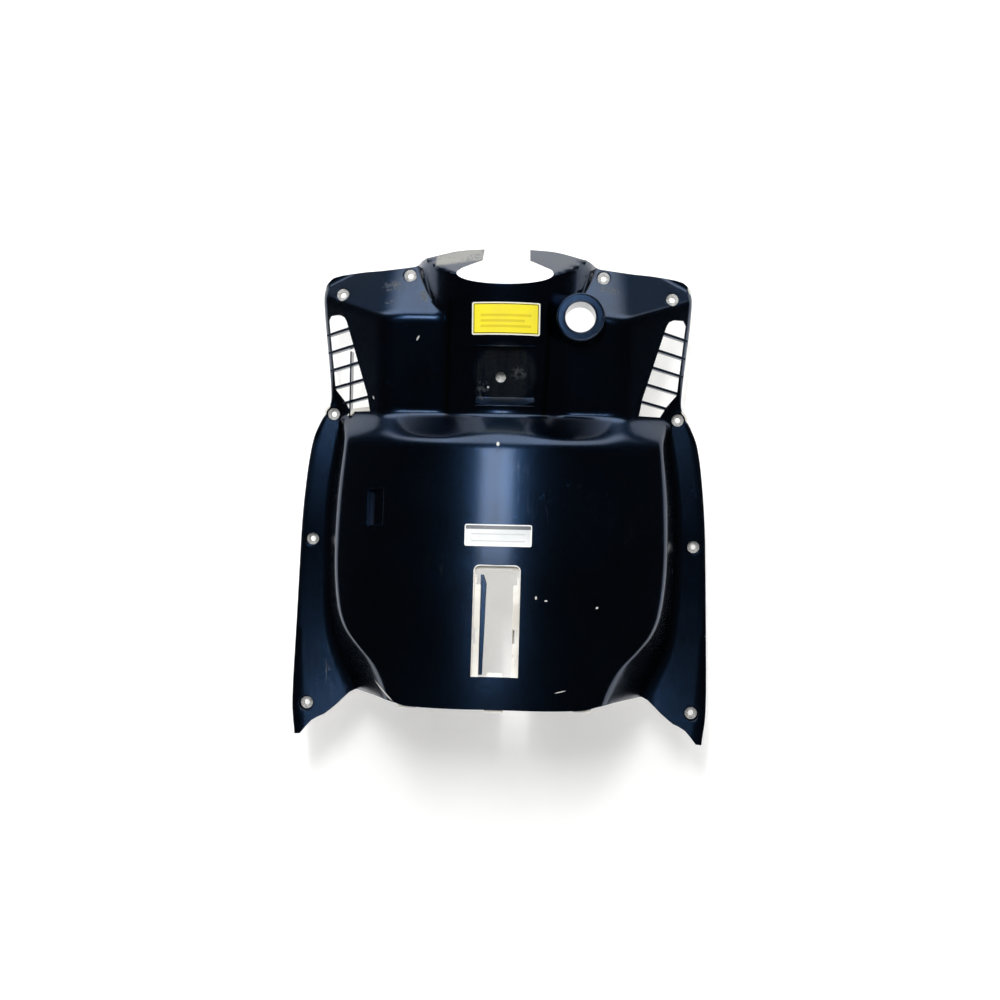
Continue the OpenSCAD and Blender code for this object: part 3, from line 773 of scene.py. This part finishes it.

# %% [markdown]
# Cells of noise make the flakes, slower noise makes clouds, and the wear is a set of masks from
# 0 to 1: scuffs, hazy patches, the worn horn, chips, dust in the recess, the two grooves beside
# the neck and hairline scratches. The grey of the hazy patches on the wing shelves is partly a
# painted reflection, and the near-black of the grooves is painted shade.

# %% Paint: flakes, clouds and wear
ink = Ink("navy_lacquer")
cells = ink.node("ShaderNodeTexVoronoi", {"Vector": ink.coord, "Scale": 3800.0}, out="Color")
flake = ink.node("ShaderNodeSeparateColor", {0: cells})
cloud = ink.noise(14.0, 3.0)
peel = ink.noise(160.0, 2.0)
swirl = ink.noise(30.0, 5.0, 0.6, stretch=(6.0, 1.0, 0.6))
grit = ink.noise(420.0, 4.0, 0.7)
base = ink.mix((0.0016, 0.0042, 0.0085), (0.0125, 0.0370, 0.0900), (flake * 0.6 + cloud * 0.6).ease(0.3, 0.95))
scuff = ink.noise(75.0, 6.0, 0.7).ease(0.62, 0.72) * ink.noise(9.0).ease(0.5, 0.65)
haze_and_sheen = ink.spots(HAZE_AND_SHEEN, 0.9) * ink.noise(210.0, 6.0, 0.75).ease(0.42, 0.62)
worn = (ink.x.ease(-68.5, -66) * ink.x.ease(-16, -18) * (ink.z - ink.x * 0.18).ease(276, 280)
        ).most(ink.spot(-21.0, 287.0, 6.0, 4.0, 10.0))
worn = worn * (ink.noise(60.0, 5.0, 0.7) * 0.5 + grit * 0.5).ease(0.36, 0.50)
chip = ink.spots(CHIPS) * (grit + 0.2).ease(0.48, 0.56)
dust = ink.spot(2.0, 165.0, 29.0, 27.0, 0.0, 0.25) * (swirl * 0.6 + grit * 0.4).ease(0.25, 0.6)
from_axis = abs(ink.x + 5.5 - (ink.z - 190.0) * 0.035)
# The dent of the two grooves; further down it also gives them a near-black colour, which is painted shade
groove_and_shade = abs(from_axis - 47.5).ease(2.6, 1.6) * ink.z.ease(121, 125) * ink.z.ease(236, 228)
line = ink.noise(26.0, 2.0, 0.5, stretch=(4.0, 1.0, 0.5))
hair = abs(line - 0.5).ease(0.006, 0.0015) * ink.noise(11.0).ease(0.55, 0.66)
print("wear:", len(ink.tree.nodes), "nodes")

# %% [markdown]
# Each mask lays its own colour over the base and takes the metal and the coat away where the
# plastic is bare. The Bevel node softens the shading of every sharp edge, as paint does.

# %% Paint: the finished lacquer
# Near-black in the grooves: painted shade
base = ink.mix(base, (0.001, 0.0015, 0.002), groove_and_shade * 0.8)
# Grey of the hazy patches: real scuffing, and on the wing shelves a painted grey reflection
base = ink.mix(base, (0.075, 0.078, 0.075), haze_and_sheen * 0.7)
base = ink.mix(base, (0.030, 0.033, 0.035), dust * 0.8)
base = ink.mix(base, (0.21, 0.21, 0.20), worn)
base = ink.mix(base, (0.52, 0.52, 0.50), chip.most(hair * 0.10))
bare = worn.most(chip)
rounded_edge = ink.node("ShaderNodeBevel", {"Radius": 0.0011}, samples=4)
bump = ink.node("ShaderNodeBump", {"Height": peel * 0.5 + swirl * 0.5 + flake * 0.05 - hair - groove_and_shade * 4.0
                                   - chip * 2.0 + worn * grit * 3.0, "Strength": 0.06,
                                   "Distance": 0.001, "Normal": rounded_edge})
paint = ink.surface(Base_Color=base, Metallic=(1.0 - haze_and_sheen * 0.5 - dust * 0.25) * (1 - bare),
                    Roughness=0.215 + (scuff * 0.15 + flake * 0.04).most(bare * 0.35).most(haze_and_sheen * 0.3),
                    Coat_Weight=(0.50 - scuff * 0.2 - haze_and_sheen * 0.5) * (1 - bare), Coat_Roughness=0.14, Normal=bump)
print("lacquer:", len(ink.tree.nodes), "nodes")

# %% [markdown]
# Behind, in the slot and on the tabs the moulding is raw: an off-white plastic with a fine
# grain, slow stains and dirt in spots. No flakes and no coat.

# %% Raw plastic
ink = Ink("raw_plastic")
grain = ink.noise(900.0, 4.0, 0.6)
stain = ink.noise(22.0, 3.0)
dirt = ink.noise(130.0, 6.0, 0.75).ease(0.55, 0.75)
base = ink.mix(rgb(226, 224, 218), rgb(196, 192, 184), stain.ease(0.35, 0.7))
base = ink.mix(base, rgb(120, 116, 108), dirt * 0.55)
raw = ink.surface(Base_Color=base, Roughness=0.52 + grain * 0.12, bump=grain + dirt * 0.5, strength=0.12)
print("raw plastic:", len(ink.tree.nodes), "nodes")

# %% [markdown]
# Where a screw head turned on its seat, the plastic is rubbed to a mottled light grey.

# %% Rubbed plastic
ink = Ink("rubbed_plastic")
tone = ink.mix(rgb(206, 206, 204), rgb(140, 140, 138), ink.noise(500.0, 4.0, 0.7).ease(0.45, 0.65))
rubbed = ink.surface(Base_Color=tone, Roughness=0.45 + ink.noise(300.0) * 0.15)
print("rubbed plastic:", len(ink.tree.nodes), "nodes")

# %% [markdown]
# Both films are printed. Their borders, keyline and colour fields are drawn by how deep a place
# lies inside the film's edge, so the lines keep their width all round. The print itself is left
# off, and a few plain bars stand in its place.

# %% Films
NECK_FILM, SLOT_FILM, FILM_R = (2.0, 214.5, 64.0, 30.0), (0.0, 11.5, 62.0, 20.0), 1.5


def inset(ink, cx, cz, w, h):
    """How far a place lies inside the edge of a film, in millimetres."""
    return (w / 2 - abs(ink.x - cx)).least(h / 2 - abs(ink.z - cz))


ink = Ink("yellow_film")
deep = inset(ink, *NECK_FILM)
print_wear = ink.noise(300.0, 4.0, 0.7).ease(0.60, 0.70)
keyline = deep.ease(1.3, 1.5) * deep.ease(2.2, 2.0)
field = ink.mix(rgb(250, 234, 52), rgb(240, 222, 60), ink.noise(20.0).ease(0.4, 0.7))
bars = abs(abs(ink.z - 212.5) - 5.0).ease(1.25, 1.05) * (abs(ink.x - 2.0)).ease(24.0, 23.8)
bars = bars.most(abs(ink.z - 212.5).ease(1.25, 1.05) * (abs(ink.x + 1.0)).ease(21.0, 20.8))
field = ink.mix(field, rgb(206, 182, 40), bars * 0.55)
field = ink.mix(field, (0.012, 0.012, 0.012), keyline)
field = ink.mix(field, rgb(236, 236, 226), deep.ease(1.2, 1.0))
field = ink.mix(field, rgb(228, 220, 170), print_wear * 0.35)
yellow = ink.surface(Base_Color=field, Roughness=0.38 + print_wear * 0.15, bump=ink.noise(90.0),
                     strength=0.08)
print("yellow film:", len(ink.tree.nodes), "nodes")

# %% [markdown]
# The pale film is the same with a dark header band.

# %% The pale film
ink = Ink("pale_film")
deep = inset(ink, *SLOT_FILM)
print_wear = ink.noise(260.0, 4.0, 0.7).ease(0.58, 0.70)
field = ink.mix(rgb(214, 216, 216), rgb(198, 201, 203), ink.noise(30.0).ease(0.4, 0.7))
field = ink.mix(field, rgb(84, 88, 94), ink.z.ease(17.0, 17.3))
rows = abs(abs(ink.z - 9.6) - 3.2).ease(0.65, 0.5) * abs(ink.x).ease(25.0, 24.8)
field = ink.mix(field, rgb(168, 171, 175), rows * 0.7)
field = ink.mix(field, rgb(232, 232, 230), deep.ease(1.0, 0.8))
field = ink.mix(field, rgb(170, 170, 168), print_wear * 0.3)
pale = ink.surface(Base_Color=field, Roughness=0.38 + print_wear * 0.15, bump=ink.noise(90.0),
                   strength=0.08)
print("pale film:", len(ink.tree.nodes), "nodes")


# %% [markdown]
# All shapes so far were drawn from the plane of the flanges. The frame's origin lies a little
# behind that plane, so a finished piece is shifted in its mesh, and its object stays at the
# origin. Then it is hung on the body it rides on, and the construction's solids that it stands
# for are hidden.

# %% The sheet goes to its place
def settle(obj, slot, *nodes):
    """The finished piece goes to its place in the frame, rides on the root body and hides the solids it stands
    for.
    """
    obj.data.transform(Matrix.Translation((0, -SEAT_Y * MM, 0)))
    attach(obj, "root")
    if nodes:
        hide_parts(*nodes)


panel.name = "panel_sheet"
settle(panel, "paint", "inner_panel")
print("panel in place, corners", [round(v, 4) for v in panel.bound_box[0]])

# %% [markdown]
# Slats, rims and washer marks repeat or follow a path, so Geometry Nodes make them. A helper
# puts a tree on a mesh of points and edges, sets the tree's named sizes, and keeps the result as
# a plain mesh. Every tree ends in Realize Instances and Set Material.

# %% From a path to a piece
def grown(name, points, edges, tree, **sizes):
    """A mesh of points and edges, turned by a Geometry Nodes tree into a finished piece."""
    mesh = bpy.data.meshes.new(name + "_path")
    mesh.from_pydata([tuple(v * MM for v in p) for p in points], edges, [])
    obj = bpy.data.objects.new(name, mesh)
    bpy.context.collection.objects.link(obj)
    mod = obj.modifiers.new("grow", "NODES")
    mod.node_group = tree
    for item in tree.interface.items_tree:
        if item.item_type == "SOCKET" and item.in_out == "INPUT" and item.name in sizes:
            mod[item.identifier] = sizes[item.name]
    dg = bpy.context.evaluated_depsgraph_get()
    done = bpy.data.meshes.new_from_object(obj.evaluated_get(dg))
    obj.modifiers.clear()
    obj.data = done
    bpy.data.meshes.remove(mesh)
    return obj


def tree_of(name, sizes):
    """A new tree with named sizes, and the two nodes at its ends."""
    tree = bpy.data.node_groups.new(name, "GeometryNodeTree")
    tree.interface.new_socket("Geometry", in_out="INPUT", socket_type="NodeSocketGeometry")
    for label, value in sizes.items():
        s = tree.interface.new_socket(label, in_out="INPUT", socket_type="NodeSocketFloat")
        s.default_value = value
    tree.interface.new_socket("Geometry", in_out="OUTPUT", socket_type="NodeSocketGeometry")
    return tree, tree.nodes.new("NodeGroupInput"), tree.nodes.new("NodeGroupOutput")


def finish_tree(tree, end, made, material):
    """Makes the result a plain mesh in one finish."""
    real = tree.nodes.new("GeometryNodeRealizeInstances")
    paint_it = tree.nodes.new("GeometryNodeSetMaterial")
    paint_it.inputs["Material"].default_value = material
    tree.links.new(made, real.inputs[0])
    tree.links.new(real.outputs[0], paint_it.inputs["Geometry"])
    tree.links.new(paint_it.outputs[0], end.inputs[0])
    return tree


def sweep_tree(tree, start, end, profile, material):
    """Draws a profile along every edge of the path, with closed ends."""
    to_curve = tree.nodes.new("GeometryNodeMeshToCurve")
    sweep = tree.nodes.new("GeometryNodeCurveToMesh")
    sweep.inputs["Fill Caps"].default_value = True
    tree.links.new(start.outputs["Geometry"], to_curve.inputs[0])
    tree.links.new(to_curve.outputs[0], sweep.inputs["Curve"])
    tree.links.new(profile, sweep.inputs["Profile Curve"])
    return finish_tree(tree, end, sweep.outputs[0], material)


print("tree helpers ready")

# %% [markdown]
# Five slats cross each vent window. They are flat bars with rounded edges that fall towards
# the outside, so each one is a path of two points with a rounded rectangle drawn along it.

# %% Slats
SLATS, SLAT_T, SLAT_DEPTH, SLAT_PITCH, SLAT_TOP, SLAT_TILT = 5, 2.8, 7.0, 16.8, 209.0, 11.0


def bar_tree(name, material):
    """A flat bar with rounded edges along each edge of the path."""
    tree, start, end = tree_of(name, {"Depth": 0.007, "Thickness": 0.0028, "Rounding": 0.0009})
    shape = tree.nodes.new("GeometryNodeCurvePrimitiveQuadrilateral")
    fillet = tree.nodes.new("GeometryNodeFilletCurve")
    fillet.mode = "POLY"
    fillet.inputs["Count"].default_value = 3
    tree.links.new(start.outputs["Depth"], shape.inputs["Width"])
    tree.links.new(start.outputs["Thickness"], shape.inputs["Height"])
    tree.links.new(shape.outputs[0], fillet.inputs["Curve"])
    tree.links.new(start.outputs["Rounding"], fillet.inputs["Radius"])
    return sweep_tree(tree, start, end, fillet.outputs[0], material)


slat_tree = bar_tree("slat_bars", paint)
points, edges = [], []
slat_fall = math.tan(math.radians(SLAT_TILT))
for side in (1, -1):
    for k in range(SLATS):
        z = SLAT_TOP - k * SLAT_PITCH
        x0 = vent_in(z) - 2.0
        x1 = vent_out(z - 5) + 2.0
        for x in (x0, x1):
            lower = z - (x - vent_in(z)) * slat_fall
            d = float(side_d(np.array(x), np.array(lower))) - SHEET_T / 4 - SLAT_DEPTH / 2
            points.append((side * x, -d, lower))
        edges.append((len(points) - 2, len(points) - 1))
slats = grown("vent_slats", points, edges, slat_tree, Depth=SLAT_DEPTH * MM, Thickness=SLAT_T * MM)
shade(slats, 40, False)
settle(slats, "paint")
print("slats:", len(edges), "bars,", len(slats.data.polygons), "faces")

# %% [markdown]
# The lock boss has two thick rounded rims, the slot a thin raw lip and the recess a rounded lower
# edge. A modelled bevel would need a finer sheet, so each is a round bead along the edge.

# %% Rounded rims
def bead_tree(name, material):
    """A round bead along the path, such as a rim or a lip."""
    tree, start, end = tree_of(name, {"Radius": 0.0005})
    ring = tree.nodes.new("GeometryNodeCurvePrimitiveCircle")
    ring.inputs["Resolution"].default_value = 10
    tree.links.new(start.outputs["Radius"], ring.inputs["Radius"])
    return sweep_tree(tree, start, end, ring.outputs[0], material)


def bead(name, points, radius, tree, closed=True):
    edges = [(i, i + 1) for i in range(len(points) - 1)]
    if closed:
        edges.append((len(points) - 1, 0))
    obj = grown(name, points, edges, tree, Radius=radius * MM)
    shade(obj, 60, False)
    return obj


paint_bead, raw_bead = bead_tree("painted_bead", paint), bead_tree("raw_bead", raw)
rims = []
for name, r, radius in (("lock_rim_outer", LOCK_BOSS_R - 0.9, 1.1), ("lock_rim_inner", LOCK_R + 0.8, 1.0)):
    ring = [(x, -LOCK_OUT + 0.4, z) for x, z in circle(LOCK_X, LOCK_Z, r, 96)]
    rims.append(bead(name, ring, radius, paint_bead))
lip = [spot(x, (ON_BULGE @ Vector((x, 0, z))).z, 0.0)[0] for x, z in slot_outline(0.1)]
rims.append(bead("slot_lip", lip, 0.6, raw_bead))
lip = [(ON_NECK @ Vector((x, 0, 0))) for x in np.linspace(-RECESS_W / 2, RECESS_W / 2, 25)]
lip = [spot(p.x, p.z - 6.6, -0.25)[0] for p in lip]
rims.append(bead("recess_lip", lip, 0.7, paint_bead, False))
for obj in rims:
    settle(obj, None if obj.name == "slot_lip" else "paint")
print("rims:", [(o.name, len(o.data.polygons)) for o in rims])

# %% [markdown]
# Through the hook hole in the recess there is only shade, but the bright backdrop would show. A
# shallow grey cup, turned from a short outline, closes it from behind: painted shade, not a part.

# %% Grey cup behind the hook hole, as painted shade
CUP = ((0.01, 2.4), (2.0, 2.3), (4.2, 1.7), (5.6, 0.0), (6.6, 0.0), (6.6, 3.0), (0.01, 3.4))
n = 40
place = ON_NECK @ Matrix.Translation((-4.5, RECESS_DEPTH + SHEET_T + 0.2, 19.5))
turns = np.linspace(0, 2 * math.pi, n + 1)[:n]
seat = [[place @ Vector((r * math.cos(t), y, r * math.sin(t))) for t in turns] for r, y in CUP]
polys = [[k * n + i, k * n + (i + 1) % n, (k + 1) * n + (i + 1) % n, (k + 1) * n + i]
         for k in range(len(CUP) - 1) for i in range(n)]
# The grey cup stands in for the shade seen through the hook hole
hook_shade_cup = new_object("hook_shade_cup", [p for ring in seat for p in ring], polys)
hook_shade_cup.data.materials.append(rubbed)
bm = bmesh.new()
bm.from_mesh(hook_shade_cup.data)
bmesh.ops.remove_doubles(bm, verts=bm.verts, dist=0.00003)
bmesh.ops.recalc_face_normals(bm, faces=bm.faces)
bm.to_mesh(hook_shade_cup.data)
bm.free()
shade(hook_shade_cup, 35, False)
settle(hook_shade_cup, None)
print("hook seat:", len(hook_shade_cup.data.polygons), "faces")

# %% [markdown]
# Each screw head left concentric ridges on its seat. One washer of three rings is made in the
# tree and placed on ten points.

# %% Washer marks in the wells
def washer_tree(name, material):
    """Three concentric ridges on every point, where a screw head has turned."""
    tree, start, end = tree_of(name, {"Inner": 0.0034, "Pitch": 0.00105, "Ridge": 0.0006})
    n, link = tree.nodes, tree.links.new
    join_all = n.new("GeometryNodeJoinGeometry")
    profile = n.new("GeometryNodeCurvePrimitiveCircle")
    profile.inputs["Resolution"].default_value = 6
    link(start.outputs["Ridge"], profile.inputs["Radius"])
    for k in range(3):
        size = n.new("ShaderNodeMath")
        size.operation = "MULTIPLY_ADD"
        size.inputs[0].default_value = k
        link(start.outputs["Pitch"], size.inputs[1])
        link(start.outputs["Inner"], size.inputs[2])
        ring = n.new("GeometryNodeCurvePrimitiveCircle")
        ring.inputs["Resolution"].default_value = 40
        link(size.outputs[0], ring.inputs["Radius"])
        sweep = n.new("GeometryNodeCurveToMesh")
        link(ring.outputs[0], sweep.inputs["Curve"])
        link(profile.outputs[0], sweep.inputs["Profile Curve"])
        link(sweep.outputs[0], join_all.inputs[0])
    to_points = n.new("GeometryNodeMeshToPoints")
    place = n.new("GeometryNodeInstanceOnPoints")
    place.inputs["Rotation"].default_value = (math.radians(90), 0, 0)
    link(start.outputs["Geometry"], to_points.inputs[0])
    link(to_points.outputs[0], place.inputs["Points"])
    link(join_all.outputs[0], place.inputs["Instance"])
    return finish_tree(tree, end, place.outputs[0], material)


seats = [(side * x, WELL_DEPTH - float(face_d(side * x, z)) - 0.62, z)
         for x, z in SCREWS for side in (-1, 1)]
washers = grown("washer_marks", seats, [], washer_tree("washer_rings", rubbed))
shade(washers, 60, False)
settle(washers, None)
print("washer marks:", len(washers.data.polygons), "faces")

# %% [markdown]
# The films are thin sheets that follow the painted face at a small gap, so they bend with the
# neck and the bulge. They have a front, a back and closed edges.

# %% Labels
FILM_T, FILM_GAP = 0.3, 0.15


def film(name, cx, cz, w, h, r, material, m=17, n=41):
    """A film with round corners, lying on the painted face."""
    v = -np.cos(np.linspace(0, math.pi, m)) * h / 2
    cut = np.maximum(0, np.abs(v) - (h / 2 - r))
    half = w / 2 - r + np.sqrt(np.maximum(0, r * r - cut * cut))
    u = np.linspace(-1, 1, n)
    x = cx + half[:, None] * u[None, :]
    z = cz + v[:, None] + 0 * x
    gx, gz = slope(x, z)
    size = np.sqrt(1 + gx * gx + gz * gz)
    out = np.stack([-gx, -np.ones_like(gx), -gz], -1) / size[..., None]
    at = np.stack([x, -face_d(x, z), z], -1)
    # x runs to the left first, so that the faces point out of the panel
    top, under = (at + out * (FILM_GAP + FILM_T))[:, ::-1], (at + out * FILM_GAP)[:, ::-1]
    verts, faces, rims, _ = closed_skin(top, under)
    obj = new_object(name, verts, np.concatenate([faces, rims]))
    obj.data.materials.append(material)
    shade(obj, 40, False)
    return obj


neck_label = film("neck_film", *NECK_FILM, FILM_R, yellow)
settle(neck_label, "yellow_film", "neck_label")
slot_label = film("slot_film", *SLOT_FILM, FILM_R, pale)
settle(slot_label, "pale_film", "slot_label")
print("films:", len(neck_label.data.polygons), len(slot_label.data.polygons), "faces")

# %% [markdown]
# The backdrop is a pale floor that curves up into a wall close behind the panel, so the panel
# throws a soft shadow on it. Its own faint shine is only seen by the camera and in reflections
# and doesn't light the panel. From behind it is clear, so the panel's back can be looked at.

# %% Stage
FLOOR_Z, FLOOR_Y, WALL_Y, WALL_TOP, COVE_R, HALF_W = -0.62, -0.45, 0.068, 0.8, 0.1, 0.9
ink = Ink("backdrop")
seen = (ink.node("ShaderNodeLightPath", out="Is Camera Ray")
        .most(ink.node("ShaderNodeLightPath", out="Is Glossy Ray"))
        .most(ink.node("ShaderNodeLightPath", out="Is Transmission Ray")))
glow = ink.node("ShaderNodeEmission", {"Color": (1, 1, 1), "Strength": 0.22})
skin = ink.node("ShaderNodeBsdfDiffuse", {"Color": (0.9, 0.9, 0.9)})
lit = ink.node("ShaderNodeAddShader", {0: glow, 1: skin})
white = ink.node("ShaderNodeMixShader", {0: seen, 1: skin, 2: lit})
through = ink.node("ShaderNodeBsdfTransparent")
behind = ink.node("ShaderNodeNewGeometry", out="Backfacing")
both = ink.node("ShaderNodeMixShader", {0: behind, 1: white, 2: through})
ink.tree.links.new(both.socket, ink.end.inputs[0])
print("backdrop:", len(ink.tree.nodes), "nodes")

# %% Floor and wall
cove = [(WALL_Y - COVE_R + COVE_R * math.sin(t), FLOOR_Z + COVE_R - COVE_R * math.cos(t))
        for t in np.linspace(0, math.pi / 2, 24)]
outline = [(FLOOR_Y, FLOOR_Z)] + cove + [(WALL_Y, WALL_TOP)]
pts = [(side * HALF_W / MM, y / MM, z / MM) for y, z in outline for side in (-1, 1)]
polys = [[2 * i, 2 * i + 1, 2 * i + 3, 2 * i + 2] for i in range(len(outline) - 1)]
backdrop = new_object("backdrop", pts, polys)
backdrop.data.materials.append(ink.material)
backdrop.data.shade_smooth()
print("backdrop of", len(polys), "strips")


# %% [markdown]
# Three nested soft boxes above the camera make the glow in the middle of the bulge, bright in
# its core and fading to the sides. Three large soft lights, which the lacquer doesn't mirror,
# light the raw plastic, the films and the backdrop at a plain level.

# %% Lights
def lamp(name, azimuth, elevation, distance, w, h, radiance, aim=(0, 0, 0.04)):
    """A soft box whose face shines with the given radiance, so 1 looks white in a mirror."""
    a, e = math.radians(azimuth), math.radians(elevation)
    data = bpy.data.lights.new(name, "AREA")
    data.shape, data.size, data.size_y = "RECTANGLE", w, h
    data.energy = radiance * math.pi * w * h
    obj = bpy.data.objects.new(name, data)
    bpy.context.collection.objects.link(obj)
    at = Vector(aim) + Vector((math.sin(a) * math.cos(e), -math.cos(a) * math.cos(e), math.sin(e))) * distance
    obj.location = at
    obj.rotation_euler = (Vector(aim) - at).to_track_quat("-Z", "Y").to_euler()
    print(name, "shines", radiance)
    return obj


for name, w, radiance in (("strip_wide", 0.56, 4.0), ("strip_middle", 0.26, 13.0), ("strip_core", 0.06, 90.0)):
    lamp(name, -4, 23, 2.0, w, 0.52, radiance)
for name, azimuth, elevation, side, radiance in (("front", 0, 44, 1.0, 5.8), ("left", -50, 30, 1.6, 1.15),
                                                 ("right", 50, 30, 1.6, 1.15)):
    soft = lamp(name, azimuth, elevation, 2.2, side, side, radiance)
    soft.visible_glossy = False

# %% [markdown]
# The room is dark but for a bright patch high in front, which the shelves of the wings mirror.

# %% Sky
world = bpy.data.worlds.new("studio")
bpy.context.scene.world = world
sky = Ink("studio", world)
high = sky.z.ease(690, 810) * sky.y.ease(-60, -170)
air = sky.node("ShaderNodeBackground", {"Color": (1.0, 1.0, 0.98), "Strength": high * 3.6 + 0.035})
sky.tree.links.new(air.socket, sky.end.inputs[0])
print("sky:", len(sky.tree.nodes), "nodes")
bpy.context.scene.view_settings.view_transform = "Standard"
